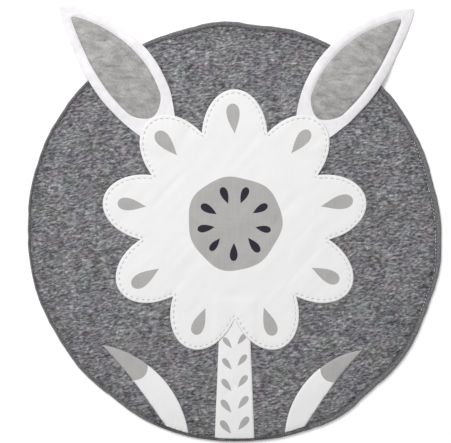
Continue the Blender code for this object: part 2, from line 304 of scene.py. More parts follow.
def marl_jersey():
    """Cotton jersey in marl yarn: pale and dark slubs 8 mm long and 4 mm high, that lie along
    the courses and rise a little to the right, in streaks 34 mm long and clouds 24 mm across.
    The eye sees a flecked mid grey with a faint grain, warmer and cooler in patches 36 mm
    across. Painted shade darkens it from 40 mm inside the rim towards the binding, where
    shade falls beside the tape. The courses are 1.3 mm apart and the wales 1.1 mm, and are
    drawn at 2 mm and 1.7 mm so that they show."""
    finish, add, sockets, place = new_finish(
        "marl_jersey", Roughness=0.92, Specular_IOR_Level=0.2, Sheen_Weight=0.06
    )
    drift = add("TexNoise", {"Vector": place, "Scale": 1 / 0.045, "Detail": 1.0})
    bent = add(
        "VectorMath", {0: drift["Color"], 1: (0.012, 0.016, 0.0), 2: place},
        operation="MULTIPLY_ADD",
    )
    slubs = 0.5
    for size, turn, detail, share in (
        ((0.024, 0.020, 0.020), 0.0, 1.0, 1.0),
        ((0.034, 0.0050, 0.005), 0.10, 1.0, 0.60),
        ((0.0083, 0.0039, 0.004), 0.20, 3.0, 0.72),
    ):
        laid = add(
            "Mapping", {"Vector": bent[0], "Rotation": (0.0, 0.0, turn), "Scale": size},
            vector_type="TEXTURE",
        )
        layer = add(
            "TexNoise", {"Vector": laid[0], "Scale": 1.0, "Detail": detail, "Roughness": 0.60}
        )
        slubs = add("Mix", {0: share, 2: slubs, 3: layer["Fac"]})[0]
    # Painted shade: the grey is darkened from 40 mm to 5 mm inside the rim, beside the binding.
    from_centre = add("VectorMath", {0: place}, operation="LENGTH")
    painted_rim_shade = add("MapRange", {
        "Value": from_centre["Value"], "From Min": MAT_RADIUS - 0.040,
        "From Max": MAT_RADIUS - 0.005, "To Min": 0.0, "To Max": -0.030,
    })
    slubs = add("Math", {0: slubs, 1: painted_rim_shade[0]}, operation="ADD")[0]
    grey = add("ValToRGB", {"Fac": slubs}, stops=(
        (0.29, "#232225"), (0.40, "#4b4a4d"), (0.50, "#6e6d70"), (0.60, "#919092"),
        (0.72, "#c9c8c9"),
    ))
    tints = add("TexNoise", {"Vector": place, "Scale": 1 / 0.036, "Detail": 1.0})
    add(
        "Mix", {0: 0.014, 6: grey["Color"], 7: tints["Color"]}, to=sockets["Base Color"],
        data_type="RGBA", blend_type="LINEAR_LIGHT",
    )
    relief = slubs
    for direction, pitch in (("Y", 0.0020), ("X", 0.0017)):
        rows = add(
            "TexWave", {"Vector": bent[0], "Scale": math.pi / 10 / pitch, "Distortion": 1.2},
            bands_direction=direction,
        )
        relief = add("Math", {0: rows["Fac"], 1: relief}, operation="ADD")[0]
    add("Bump", {"Height": relief, "Distance": 0.0004, "Strength": 0.5}, to=sockets["Normal"])
    return finish


def build_disc():
    """The face, the side that the tape hides, and the flat back."""
    rows = [round_rim(depth) for depth in DISC_EDGE_ROWS[1:]]
    plan, faces, _ = cut_cloth(round_rim(DISC_EDGE_ROWS[0]), DISC_CELL, rows=rows)
    x, y = plan.T
    inside = inside_tape(x, y)
    gathers = uneven(np.arctan2(y, x) * MAT_RADIUS, inside * GATHER_STRETCH, GATHER_PITCH, 11)
    gathers *= smooth(inside / GATHER_STARTS) * np.exp(-inside.clip(0.0) / GATHER_RUN)
    dimples = uneven(x, y, DIMPLE_SIZE, 12) * smooth(inside / DIMPLE_STARTS)
    trench = np.exp(-(inside / TRENCH_HALF) ** 2)
    height = wadding_top(x, y) + GATHER_DEPTH * gathers + DIMPLE_DEPTH * dimples
    rings = [np.column_stack([plan, height - TRENCH_DEPTH * trench])]
    for depth, level in DISC_BACK_ROWS:
        rings.append(np.column_stack([round_rim(depth), np.full(RIM_STEPS, level)]))
    starts = [len(plan) + RIM_STEPS * ring for ring in range(3)][::-1] + [0]
    faces += ring_faces(starts, RIM_STEPS)
    faces.append([starts[0] + step for step in range(RIM_STEPS)][::-1])
    disc = add_piece(
        "padded_disc", np.concatenate(rings), faces, [marl_jersey()], "marl_knit", ["pad"]
    )
    return disc


padded_disc = build_disc()


# The binding. A charcoal cotton tape, 28 mm wide, folded over the raw rim and sewn down through
# all layers with one row of machine stitches near its inner edge. The stitches draw it into
# small puckers, it is narrower at the left and the foot, and its two ends lap at the lower right.

TAPE = 0.0010
TAPE_HEIGHT = 0.0064
TAPE_ROLL = 0.0032
TAPE_FALL = 0.0006
TAPE_UNDERSIDE = 0.0003
RIM_WOBBLE = 0.0007
WOBBLE_PITCH = 0.016
PUCKER_HEIGHT = 0.0003
PUCKER_PITCH = 0.0065
PUCKER_STRETCH = 0.4
PUCKER_STARTS = 0.004
SAG_PITCH = 0.028
LAP_DEGREE = 329.0
LAP_LENGTH = 0.016
LAP_RISE = 0.0007
LAP_RUN = 0.0015
SEAM_FROM_LIP = 0.0012
SEAM_PULL = 0.0008
SEAM_REACH = 0.0010


def tape_top(depth, angle):
    """The height of the tape's upper side, that far in from the rim."""
    width = tape_width(angle)
    along = angle * MAT_RADIUS
    from_top = np.clip(TAPE_ROLL - depth, 0.0, TAPE_ROLL)
    roll = TAPE_HEIGHT - TAPE_ROLL + np.sqrt(TAPE_ROLL ** 2 - from_top ** 2)
    past_roll = smooth((depth - TAPE_ROLL) / (width - TAPE_ROLL))
    seam = np.exp(-((depth - width + SEAM_FROM_LIP) / SEAM_REACH) ** 2)
    puckers = uneven(along, depth * PUCKER_STRETCH, PUCKER_PITCH, 21)
    puckers += uneven(along, 0.0, SAG_PITCH, 22)
    puckers *= PUCKER_HEIGHT * smooth(depth / PUCKER_STARTS)
    lap_away = np.abs(np.remainder(np.degrees(angle) - LAP_DEGREE + 180.0, 360.0) - 180.0)
    lap = smooth(1.0 - (np.radians(lap_away) * MAT_RADIUS - LAP_LENGTH / 2.0) / LAP_RUN)
    return roll - TAPE_FALL * past_roll - SEAM_PULL * seam + puckers + LAP_RISE * lap


def knit_tape():
    """Folded jersey tape in a charcoal marl, pressed flat: a dark grey, less flecked than the
    face, in patches 5 mm by 3 mm. Its loops are 1 mm across."""
    finish, add, sockets, place = new_finish(
        "charcoal_jersey_tape", Roughness=0.88, Specular_IOR_Level=0.25, Sheen_Weight=0.10,
        Sheen_Roughness=0.4,
    )
    laid = add("Mapping", {"Vector": place, "Scale": (0.005, 0.003, 0.003)}, vector_type="TEXTURE")
    mottle = add("TexNoise", {"Vector": laid[0], "Scale": 1.0, "Detail": 3.0, "Roughness": 0.6})
    add(
        "ValToRGB", {"Fac": mottle["Fac"]}, to=sockets["Base Color"],
        stops=((0.28, "#4d4c4e"), (0.50, "#676668"), (0.72, "#838284")),
    )
    loops = add("TexNoise", {"Vector": place, "Scale": 1 / 0.001, "Detail": 1.0})
    add("Bump", {"Height": loops["Fac"], "Distance": 0.0003, "Strength": 0.5}, to=sockets["Normal"])
    return finish


def thicken(piece, thickness):
    """Gives a single surface the thickness of its cloth, inward from the side that shows."""
    cloth = piece.modifiers.new("cloth", "SOLIDIFY")
    cloth.thickness = thickness
    cloth.offset = -1.0


def build_tape():
    """From its lip under the mat, round the rim, to its lip on the face."""
    width = tape_width(ALL_ROUND)
    rows = [(width * share, np.full(RIM_STEPS, TAPE_UNDERSIDE)) for share in (1.0, 0.75, 0.5)]
    for turn in np.radians([-75, -50, -25, 0, 25, 50]):
        height = TAPE_ROLL * (1.0 + np.sin(turn))
        rows.append((TAPE_ROLL * (1.0 - np.cos(turn)), np.full(RIM_STEPS, height)))
    for share in np.linspace(0.30, 1.0, 12):
        rows.append((width * share, tape_top(width * share, ALL_ROUND)))
    wobble = RIM_WOBBLE * uneven(ALL_ROUND * MAT_RADIUS, 0.0, WOBBLE_PITCH, 23)
    rings = [np.column_stack([round_rim(depth - wobble), height]) for depth, height in rows]
    starts = [RIM_STEPS * row for row in range(len(rows))]
    tape = add_piece(
        "rim_tape", np.concatenate(rings), ring_faces(starts, RIM_STEPS), [knit_tape()],
        "binding_tape", ["binding"],
    )
    thicken(tape, TAPE)
    return tape


rim_tape = build_tape()


STITCH_ALONG = np.array([-0.5, -0.42, -0.2, 0.0, 0.2, 0.42, 0.5])
STITCH_RISE = np.array([-0.9, 0.0, 0.55, 0.7, 0.55, 0.0, -0.9])
STITCH_SWELL = np.array([0.35, 0.85, 1.0, 1.0, 1.0, 0.85, 0.35])
THREAD_SIDES = 6


def sew(path, surface, stitch, gap, thread, closed=True, wander=0.0, seed=0):
    """A row of stitches along a path: each thread comes up, lies on the cloth and dives again."""
    line = np.concatenate([path, path[:1]]) if closed else path
    marks = np.concatenate([[0.0], np.cumsum(np.hypot(*np.diff(line, axis=0).T))])
    count = int(marks[-1] / (stitch + gap))
    pitch = marks[-1] / count
    rng = np.random.default_rng(seed)
    points, faces = [], []
    for index in range(count):
        length = stitch * (1.0 + wander * rng.uniform(-1.0, 1.0))
        middle = (index + 0.5 + 0.5 * wander * rng.uniform(-1.0, 1.0)) * pitch
        where = (middle + STITCH_ALONG * length) % marks[-1]
        x, y = np.interp(where, marks, line[:, 0]), np.interp(where, marks, line[:, 1])
        tangent = np.array([x[-1] - x[0], y[-1] - y[0]])
        tangent /= np.hypot(*tangent)
        z = surface(x, y) + STITCH_RISE * thread
        starts = [len(points) + THREAD_SIDES * ring for ring in range(len(STITCH_ALONG))]
        for cx, cy, cz, swell in zip(x, y, z, STITCH_SWELL):
            for side in turns(THREAD_SIDES):
                out, up = thread * swell * math.cos(side), thread * swell * math.sin(side)
                points.append((cx - tangent[1] * out, cy + tangent[0] * out, cz + up))
        faces += ring_faces(starts, THREAD_SIDES)
        faces.append(list(range(starts[0], starts[1]))[::-1])
        faces.append(list(range(starts[-1], len(points))))
    return points, faces


def spun_thread(name, pale, dark):
    """Spun polyester thread of two plies: matt, with a twist 1 mm long that breaks its tone."""
    finish, add, sockets, place = new_finish(
        name, Roughness=0.7, Specular_IOR_Level=0.35, Sheen_Weight=0.1, Sheen_Roughness=0.4
    )
    twist = add("TexNoise", {"Vector": place, "Scale": 1 / 0.001, "Detail": 1.0})
    add(
        "ValToRGB", {"Fac": twist["Fac"]}, stops=((0.3, dark), (0.7, pale)),
        to=sockets["Base Color"],
    )
    return finish


def on_tape(x, y):
    return tape_top(inside_rim(x, y), np.arctan2(y, x))


LOWER_THREAD_DEGREES = (-24, 27)
LOWER_THREAD_PAST = 0.0004
# Painted shade: the charcoal overlocking at the foot stands for the shade on the tape's side there.
SHADE_OVERLOCK_DEGREES = (247, 291)
SHADE_OVERLOCK_TURNS = 170
SHADE_OVERLOCK_PAST = 0.0008
SHADE_OVERLOCK_UNEVEN = 0.0005


def build_rim_seam():
    """The seam's stitches, the pale lower thread that shows beside them at the right, and the
    dark overlocking that goes over the tape at the foot. The charcoal thread is painted shade
    as well: it is darker than the tape and stands for the shade along the tape's lip. The
    overlocking stands for the shade on the tape's side at the foot."""
    seam = round_rim(tape_width(ALL_ROUND) - SEAM_FROM_LIP)
    at_right = np.radians(np.linspace(*LOWER_THREAD_DEGREES, 300))
    loops = round_rim(tape_width(at_right) + LOWER_THREAD_PAST, at_right)
    at_foot = np.radians(np.linspace(*SHADE_OVERLOCK_DEGREES, SHADE_OVERLOCK_TURNS))
    overhang = np.arange(SHADE_OVERLOCK_TURNS) % 2 == 1
    to_and_fro = np.where(overhang, -SHADE_OVERLOCK_PAST, tape_width(at_foot) + SHADE_OVERLOCK_PAST)
    to_and_fro += SHADE_OVERLOCK_UNEVEN * np.random.default_rng(33).uniform(-1.0, 1.0, SHADE_OVERLOCK_TURNS)
    shade_overlock = round_rim(to_and_fro, at_foot)
    rows = (
        sew(seam, on_tape, stitch=0.0036, gap=0.0006, thread=0.00050, seed=31),
        sew(shade_overlock, on_tape, stitch=0.0062, gap=0.0004, thread=0.00050, closed=False, seed=34),
        sew(loops, on_tape, stitch=0.0026, gap=0.0052, thread=0.00075, closed=False, wander=0.5,
            seed=32),
    )
    points, faces, thread_of = [], [], []
    for number, (stitches, sides) in enumerate(rows):
        faces.extend([index + len(points) for index in face] for face in sides)
        points.extend(stitches)
        thread_of.extend([number // 2] * len(sides))
    threads = [
        # Painted shade: the charcoal thread is darker than the tape, so that it draws the shade
        # along the lip and at the foot.
        spun_thread("charcoal_thread_and_painted_shade", "#39383b", "#272729"),
        spun_thread("pale_lower_thread", "#e2e1e2", "#cfcecf"),
    ]
    add_piece("rim_seam", points, faces, threads, finish_of_face=thread_of)


build_rim_seam()


# The stem. A strip of white cotton with pairs of leaflets printed in light grey. It is tacked
# flat on the face with its raw foot caught under the binding and its head under the flower.

COTTON = 0.0011
LIES_AT = 0.0015
PRESSED_AT = 0.0004
PRESSED_RUN = 0.010
CAUGHT = 0.0012
OUTLINE_STEP = 0.004
EDGE_DROP = 0.0005
EDGE_RUN = 0.003
STRIP_SINKS = (0.0008, 0.004)
DISC_FACE_ABOVE = 0.0040
STRIP_RIPPLES = 0.6
STEM_CELL = 0.0045
STEM_TOP_HALF = 0.031
STEM_TOP_Y = -0.158
STEM_FOOT_DEGREES = (264.5, 275.5)
LEAFLETS = 6
LEAFLET_PITCH = 0.045
LEAFLET_FOOT_Y = -0.412
LEAFLET_SLANT = 38.0
LEAFLET_ASIDE = 0.0185
LEAFLET_STAGGER = 0.004
LEAFLET_LENGTH = 0.036
LEAFLET_HALF = 0.0095
LEAFLET_SHRINKS = 0.05
CREASE_FADES = 0.3
DRAG_COS = math.cos(math.radians(48.0))
DRAG_SIN = math.sin(math.radians(48.0))
DRAG_SIZE = 0.024
DRAG_HEIGHT = 0.00055
DRAG_STRETCH = 4.5
FINE_DRAG_SIZE = DRAG_SIZE / 2.2
FINE_DRAG_SHARE = 0.45
FINE_DRAG_STRETCH = 4.0
STEM_CREASES = (
    ((-30, -360), (35, -300), 3, -0.6, 6),
    ((-35, -270), (20, -220), -2, 0.4, 6),
)


def toward(centre, aim, along, aside=0.0):
    """The place that far from a centre along a direction in degrees, and aside to its left."""
    aim = math.radians(aim)
    x = centre[0] + along * math.cos(aim) - aside * math.sin(aim)
    y = centre[1] + along * math.sin(aim) + aside * math.cos(aim)
    return np.array([x, y]).T


def drop(centre, aim, length, half_width, steps=28, pinch=0.55):
    """A rounded drop with its point at the near end and its length along a direction."""
    out = 0.5 - 0.5 * np.cos(turns(steps))
    aside = half_width * np.sin(turns(steps)) * out ** pinch
    return toward(centre, aim, (out - 0.5) * length, aside)


def spaced(loop, gap):
    """The same closed loop with points at most that far apart."""
    points = []
    for start, end in zip(loop, np.roll(loop, -1, axis=0)):
        count = max(1, math.ceil(math.dist(start, end) / gap))
        points.extend(start + (end - start) * step / count for step in range(count))
    return np.array(points)


def creased(x, y, creases):
    """Soft troughs and ridges, in mm: their two ends, how far they bow to the left of the line
    between them, their height (below zero in a trough) and their half-width."""
    total = np.zeros(len(x))
    for start, end, bow, height, half_width in creases:
        leg_x, leg_y = np.subtract(end, start)
        length = math.hypot(leg_x, leg_y)
        east, north = 1000.0 * x - start[0], 1000.0 * y - start[1]
        share = (east * leg_x + north * leg_y) / length ** 2
        aside = (north * leg_x - east * leg_y) / length
        away = aside - bow * (1.0 - (2.0 * share - 1.0) ** 2)
        ends = smooth(share / CREASE_FADES) * smooth((1.0 - share) / CREASE_FADES)
        total += height * ends * np.exp(-(away / half_width) ** 2)
    return total / 1000.0


def drag_lines(x, y, seed):
    """Faint ripples that run up to the right, where the cotton was drawn slack on its bias."""
    along, across = x * DRAG_COS + y * DRAG_SIN, y * DRAG_COS - x * DRAG_SIN
    wide = uneven(along / DRAG_STRETCH, across, DRAG_SIZE, seed)
    fine = uneven(along / FINE_DRAG_STRETCH, across, FINE_DRAG_SIZE, seed + 1)
    return DRAG_HEIGHT * (wide + FINE_DRAG_SHARE * fine)


def printed_cotton(name, ink, shade):
    """Plain-weave cotton with flat pigment print, matt: faint clouds 45 mm across, and threads
    of uneven thickness that draw faint lines both ways. The threads are 0.35 mm apart, and are
    drawn at 0.9 mm, and the thick ones at 2 mm, so that they show."""
    finish, add, sockets, place = new_finish(
        name, Roughness=0.9, Specular_IOR_Level=0.2, Sheen_Weight=0.05
    )
    tone = add(
        "TexNoise", {"Vector": place, "Scale": 1 / 0.045, "Detail": 3.0, "Roughness": 0.6}
    )["Fac"]
    weave = []
    for size, direction in (((0.040, 0.002, 0.02), "Y"), ((0.002, 0.040, 0.02), "X")):
        drawn = add("Mapping", {"Vector": place, "Scale": size}, vector_type="TEXTURE")
        thick = add("TexNoise", {"Vector": drawn[0], "Scale": 1.0, "Detail": 1.0})
        tone = add("Mix", {0: 0.30, 2: tone, 3: thick["Fac"]})[0]
        weave.append(add(
            "TexWave", {"Vector": place, "Scale": math.pi / 10 / 0.0009, "Distortion": 0.6},
            bands_direction=direction,
        )["Fac"])
    add("ValToRGB", {"Fac": tone}, stops=((0.36, shade), (0.62, ink)), to=sockets["Base Color"])
    relief = add("Math", {0: weave[0], 1: weave[1]}, operation="ADD")
    add("Bump", {"Height": relief[0], "Distance": 0.00006, "Strength": 0.35}, to=sockets["Normal"])
    return finish


BARE_AND_PRINTED = [
    printed_cotton("bleached_cotton", "#dfdede", "#dcdbdb"),
    printed_cotton("grey_pigment_print", "#a8a6a5", "#9e9c9b"),
    printed_cotton("charcoal_pigment_print", "#292934", "#25252f"),
]


def sew_on(node, outline, cell, prints, height, inks=None, flat=None, sinks=STRIP_SINKS):
    """A cut of cotton laid on the face, as a sheet with two sides. The prints are light grey,
    or have the ink whose number is given: 1 for light grey and 2 for charcoal. `sinks` is how
    far it goes down into the wadding, and over how wide a run from its edge."""
    plan, triangles, print_of = cut_cloth(outline, cell, prints)
    points = np.column_stack([plan, height(*plan.T)])
    inks = [0] + list(inks or [1] * len(prints))
    piece = add_piece(
        f"cotton_{node}", points, triangles, BARE_AND_PRINTED, "white_cotton", [node],
        [inks[number] for number in print_of],
    )
    thicken(piece, COTTON)
    flat = flat or tuple(outline.max(0) - outline.min(0))
    press_disc(outline, *sinks)


def edge_drop(outline, x, y):
    """How far a cut of cotton goes down at its edge, where it is sewn or pressed."""
    return EDGE_DROP * (1.0 - smooth(depth_in(outline, x, y) / EDGE_RUN))


def laid_flat(outline, creases, seed):
    """The height of a strip that lies on the face and is pressed down beside the binding."""
    def height(x, y):
        lifted = PRESSED_AT + (LIES_AT - PRESSED_AT) * smooth(inside_tape(x, y) / PRESSED_RUN)
        soft = STRIP_RIPPLES * drag_lines(x, y, seed) + creased(x, y, creases)
        return wadding_top(x, y) + lifted - edge_drop(outline, x, y) + soft
    return height


def press_disc(loop, depth, run):
    """Lets a cloth that is sewn on sink into the wadding: the face goes down inside its edge."""
    mesh = padded_disc.data
    places = np.empty(3 * len(mesh.vertices))
    mesh.vertices.foreach_get("co", places)
    places = places.reshape(-1, 3)
    face = np.flatnonzero(places[:, 2] > DISC_FACE_ABOVE)
    places[face, 2] -= depth * smooth(depth_in(loop, *places[face, :2].T) / run)
    mesh.vertices.foreach_set("co", places.ravel())
    mesh.update()


def build_stem():
    """Two straight sides, and a foot that follows the inside of the binding."""
    at_foot = np.radians(np.linspace(*STEM_FOOT_DEGREES, 12))
    foot = round_rim(tape_width(at_foot) - CAUGHT, at_foot)
    top = np.array([[STEM_TOP_HALF, STEM_TOP_Y], [-STEM_TOP_HALF, STEM_TOP_Y]])
    outline, prints = spaced(np.concatenate([foot, top]), OUTLINE_STEP), []
    for pair in range(LEAFLETS):
        size = 1.0 - LEAFLET_SHRINKS * pair
        for side in (-1, 1):
            y = LEAFLET_FOOT_Y + pair * LEAFLET_PITCH + side * LEAFLET_STAGGER
            prints.append(drop(
                (side * LEAFLET_ASIDE * size, y), 90.0 - side * LEAFLET_SLANT,
                LEAFLET_LENGTH * size, LEAFLET_HALF * size,
            ))
    sew_on("stem", outline, STEM_CELL, prints, laid_flat(outline, STEM_CREASES, 41))


build_stem()


# The blades. Two slim leaves of the same cotton beside the stem, printed light grey at their
# tips. Each is sewn down round its edge, with its foot caught under the binding.

LEAF_SKEW = 0.95
LEAF_FULLNESS = 0.8


def curved_leaf(root, heading, turn, length, half_width, root_phase):
    """A leaf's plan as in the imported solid: a spine that bends evenly, and the width along it."""
    bend, start = math.radians(turn) / length, math.radians(heading)

    def half_at(along):
        share = np.clip(root_phase + (1.0 - root_phase) * along / length, 0.0, 1.0)
        wide = np.maximum(np.sin(math.pi * share ** LEAF_SKEW), 0.0)
        return half_width * wide ** LEAF_FULLNESS

    def place(along, aside):
        end = start + bend * along
        x = root[0] + (np.sin(end) - math.sin(start)) / bend - np.sin(end) * aside
        y = root[1] + (math.cos(start) - np.cos(end)) / bend + np.cos(end) * aside
        return x, y

    return half_at, place


# Each has its root, heading and bend in degrees, length, half-width, and where its curve begins.
BLADES = {
    "left": (toward((0, 0), 254, 0.4365), 112, 40, 0.245, 0.027, 0.22),
    "right": (toward((0, 0), 287, 0.4365), 71, -44, 0.225, 0.026, 0.22),
}
BLADE_CELL = 0.0038
BLADE_STARTS_BELOW = 0.035
BLADE_UNDER_LIP = 0.012
BLADE_PRINT_FROM = 0.62
BLADE_PRINT_BOWS = 0.07
BLADE_PRINT_TURN = 1.2
BLADE_PRINT_REACH = 1.3
BLADE_PRINT_END = 1.05
BLADE_PRINT_HALF = 0.03
BLADE_CREASES = {
    "left": (((-170, -360), (-200, -300), 2, -0.5, 5),),
    "right": (((170, -330), (210, -310), 2, 0.4, 5),),
}


def blade_edge(side, sign):
    """One long edge of a blade, from where it goes in under the binding's lip up to the tip."""
    half_at, place = curved_leaf(*BLADES[side])
    up = np.linspace(-BLADE_STARTS_BELOW, BLADES[side][3], 150)
    x, y = place(up, sign * half_at(up))
    short = inside_tape(x, y) + CAUGHT
    foot = np.flatnonzero(short > 0.0)[0] - 1
    edge = np.column_stack([x, y])[foot:]
    edge[0] *= 1.0 + short[foot] / math.hypot(*edge[0])
    return edge


def blade_tip(side):
    """The printed end of a blade: a bowed line across it, and two corners past its tip."""
    length = BLADES[side][3]
    half_at, place = curved_leaf(*BLADES[side])
    across = np.linspace(BLADE_PRINT_REACH, -BLADE_PRINT_REACH, 15)
    begins = length * (BLADE_PRINT_FROM - BLADE_PRINT_BOWS * np.cos(across * BLADE_PRINT_TURN))
    line = place(begins, across * half_at(begins))
    corners = place(length * BLADE_PRINT_END, BLADE_PRINT_HALF * np.array([-1.0, 1.0]))
    return np.concatenate([line, corners], axis=1).T


def build_blade(side):
    there_and_back = np.concatenate([blade_edge(side, 1), blade_edge(side, -1)[-2::-1]])
    outline = spaced(there_and_back, OUTLINE_STEP)
    length, half_width = BLADES[side][3:5]
    sew_on(
        f"blade_{side}", outline, BLADE_CELL, [blade_tip(side)],
        laid_flat(outline, BLADE_CREASES[side], 43),
        flat=(2.0 * half_width, length + BLADE_UNDER_LIP),
    )


for side in BLADES:
    build_blade(side)


# The leaf flaps. Each is stuffed: white flannel front and back with loose wadding, and a grey
# plush panel set into the front. The seams pull in and pucker. The root is flat and goes under
# the flower, and the flap rides over the binding and down to the floor.

FLOWER_CENTRE = (0.0, 0.020)
LEAVES = {
    "left": (toward(FLOWER_CENTRE, 129, 0.255), 118, 22, 0.345, 0.071, 0.14),
    "right": (toward(FLOWER_CENTRE, 50, 0.255), 62, -24, 0.345, 0.070, 0.14),
}
ROOT_THICKNESS = 0.0016
ROOT_RUN = 0.030
FILL_RUN = 0.075
SEAM_THICKNESS = 0.0022
SEAM_HALF = 0.0032
SEAM_PULLS_IN = 0.0021
SEAM_PUCKER = 0.0006
SEAM_PUCKER_PITCH = 0.0085
SEAM_PUCKER_RUN = 0.006
SEAM_PUCKER_STRETCH = 0.2
SIDES_APART = 3.0
BORDER_FLATNESS = 2.6
BORDER_FULLNESS = 0.55
CROWN_FULLNESS = 0.75
BORDER_LOFT = 0.0062
PLUSH_LOFT = 0.0100
FULL_LOFT_HALF = 0.042
FULL_CROWN_HALF = 0.030
FULL_SEAM_HALF = 0.006
LUMP_HEIGHT = 0.0007
LUMP_SIZE = 0.028
BACK_LIFT = 0.0012
BELLY = 0.0011
INSET_BORDER = 0.021
INSET_STARTS = 0.031
INSET_ROUNDING = 0.038
INSET_ENDS = 0.308
INSET_POINT = 0.007
TIP_RADIUS = 0.005
TIP_CENTRE = 0.0067
TIP_JOIN = 0.0034
TIP_FROM = 0.0115
TIP_ROWS = 14
EDGE_WAVE = 0.0009
EDGE_WAVE_PITCH = 0.030
PLUSH = 0.0010
PLUSH_EDGE_DROP = 0.0007
PLUSH_EDGE_RUN = 0.0022
PLUSH_END = 0.006
OVER_FACE = 0.0003
OVER_BINDING = 0.0034
RISE_RUN = 0.050
PAST_RIM = 0.0022
FLOOR_RUN = 0.060
UNDER_PLUSH = 0.0036
UNDER_PLUSH_RUN = 0.003
UNDER_PLUSH_SHARE = 0.55
MIDDLE_LEAST = 0.3
MIDDLE_SHARES = (0.0, 0.35, 0.65, 0.85, 0.95)
LEAF_ROWS = 150
PLUSH_ROWS = 250
PLUSH_END_ROWS = 12
PLUSH_FIRST_ROW = 0.01
PLUSH_COLUMNS = 81
LEAF_CREASES = {
    "left": (
        ((180, 30), (148, -10), 4, -2, 2.4), ((206, 34), (188, 6), 3, -1.7, 2.2),
        ((238, 2), (214, -30), -4, -1.5, 2.2), ((138, 18), (104, -26), 5, -1.5, 2.4),
        ((264, 20), (250, -4), 3, -1.3, 2.2), ((122, 40), (92, 12), -4, -1.4, 2.4),
        ((172, -20), (150, -44), 3, -1.3, 2.2),
        ((60, 55), (230, 40), 8, 0.8, 9), ((120, -52), (250, -20), -6, -0.9, 8),
        ((34, -30), (80, -44), 3, -1.0, 3), ((36, 26), (84, 40), -3, -1.0, 3),
    ),
    "right": (
        ((162, -34), (134, 8), -4, -2, 2.4), ((188, -38), (170, -6), -3, -1.7, 2.2),
        ((230, -4), (206, 26), 4, -1.5, 2.2), ((128, -8), (98, 30), -5, -1.5, 2.4),
        ((256, -20), (240, 4), -3, -1.3, 2.2), ((114, -42), (88, -16), 4, -1.4, 2.4),
        ((160, 22), (142, 46), -3, -1.3, 2.2),
        ((90, -50), (250, -26), -8, 0.8, 9), ((110, 54), (240, 30), 6, -0.9, 8),
        ((34, 30), (80, 44), -3, -1.0, 3), ((36, -26), (84, -40), 3, -1.0, 3),
    ),
}


def share_of(part, whole):
    """A part as a share of the whole, from 0 to 1, also where the whole is nothing."""
    return np.clip(part / np.maximum(whole, 1e-6), 0.0, 1.0)


def flap_half(side, along):
    """The half-width of a flap: the leaf's, with the corner at its tip rounded in the turning."""
    to_tip = LEAVES[side][3] - along
    corner = np.sqrt(np.maximum(TIP_RADIUS ** 2 - (TIP_CENTRE - to_tip) ** 2, 0.0))
    return np.where(to_tip < TIP_JOIN, corner, curved_leaf(*LEAVES[side])[0](along))


def flap_points(side, along, aside, half):
    """For each point of a grid: how far along, how far aside, the half-width, and the place in
    plan, with the seam at the edge a little wavy, as the machine left it."""
    columns = aside.shape[1]
    along, aside, half = np.repeat(along, columns), aside.ravel(), np.repeat(half, columns)
    wave = uneven(along, SIDES_APART * np.sign(aside), EDGE_WAVE_PITCH, 53)
    wave *= EDGE_WAVE * share_of(np.abs(aside), half)
    return along, aside, half, *curved_leaf(*LEAVES[side])[1](along, aside + wave)


def flap_under(x, y):
    """The underside of a flap: on the face, over the binding, then down to the floor."""
    inside = inside_rim(x, y)
    lift = OVER_BINDING * (1.0 - smooth((inside - TAPE_WIDTH) / RISE_RUN))
    fallen = smooth((-inside - PAST_RIM) / FLOOR_RUN)
    return (wadding_top(x, y) + OVER_FACE + lift) * (1.0 - fallen)


def inset_half(half, along):
    """The half-width of the plush panel: the leaf's less its border, rounded at both ends."""
    back = 1.0 - share_of(along - INSET_STARTS, INSET_ROUNDING)
    front = 1.0 - share_of(INSET_ENDS - along, INSET_POINT)
    return np.maximum(half - INSET_BORDER, 0.0) * np.sqrt((1.0 - back ** 2) * (1.0 - front ** 2))


def flap_top(side, along, aside, half, x, y):
    """The stuffed front: a rounded border, a seam that pulls in, and the crown of the plush."""
    inner = inset_half(half, along)
    off = np.abs(aside)
    loft = (BORDER_LOFT - SEAM_THICKNESS) * share_of(half, FULL_LOFT_HALF)
    border = 1.0 - share_of(off - inner, half - inner) ** BORDER_FLATNESS
    full = SEAM_THICKNESS + loft * border ** BORDER_FULLNESS
    crown = (PLUSH_LOFT - BORDER_LOFT) * share_of(inner, FULL_CROWN_HALF)
    full += crown * (1.0 - share_of(off, inner) ** 2) ** CROWN_FULLNESS * (off < inner)
    pulled = np.exp(-((off - inner) / SEAM_HALF) ** 2) * share_of(inner, FULL_SEAM_HALF)
    across = SEAM_PUCKER_STRETCH * off + SIDES_APART * np.sign(aside)
    puckers = uneven(along, across, SEAM_PUCKER_PITCH, 51)
    for from_seam in (np.abs(off - inner), half - off):
        full += SEAM_PUCKER * puckers * np.exp(-from_seam / SEAM_PUCKER_RUN)
    full += LUMP_HEIGHT * uneven(x, y, LUMP_SIZE, 52) - SEAM_PULLS_IN * pulled
    full += creased(along, aside, LEAF_CREASES[side])
    filled = smooth((along - ROOT_RUN) / FILL_RUN)
    thickness = ROOT_THICKNESS + (np.maximum(full, SEAM_THICKNESS) - ROOT_THICKNESS) * filled
    return flap_under(x, y) + thickness


def brushed_flannel():
    """White cotton flannel, brushed to a soft nap: matt, a little cooler and duller than the
    printed cotton. The nap's tufts are under 1 mm, and are drawn at 1.6 mm."""
    finish, add, sockets, place = new_finish(
        "brushed_flannel", Roughness=1.0, Specular_IOR_Level=0.1, Sheen_Weight=0.08
    )
    nap = add("TexNoise", {"Vector": place, "Scale": 1 / 0.0016, "Detail": 2.0})["Fac"]
    clouds = add("TexNoise", {"Vector": place, "Scale": 1 / 0.012, "Detail": 3.0})["Fac"]
    tone = add("Mix", {0: 0.35, 2: clouds, 3: nap})[0]
    add(
        "ValToRGB", {"Fac": tone}, stops=((0.36, "#d5d3d5"), (0.62, "#dedcde")),
        to=sockets["Base Color"],
    )
    add("Bump", {"Height": tone, "Distance": 0.0004, "Strength": 0.4}, to=sockets["Normal"])
    return finish


flannel = brushed_flannel()


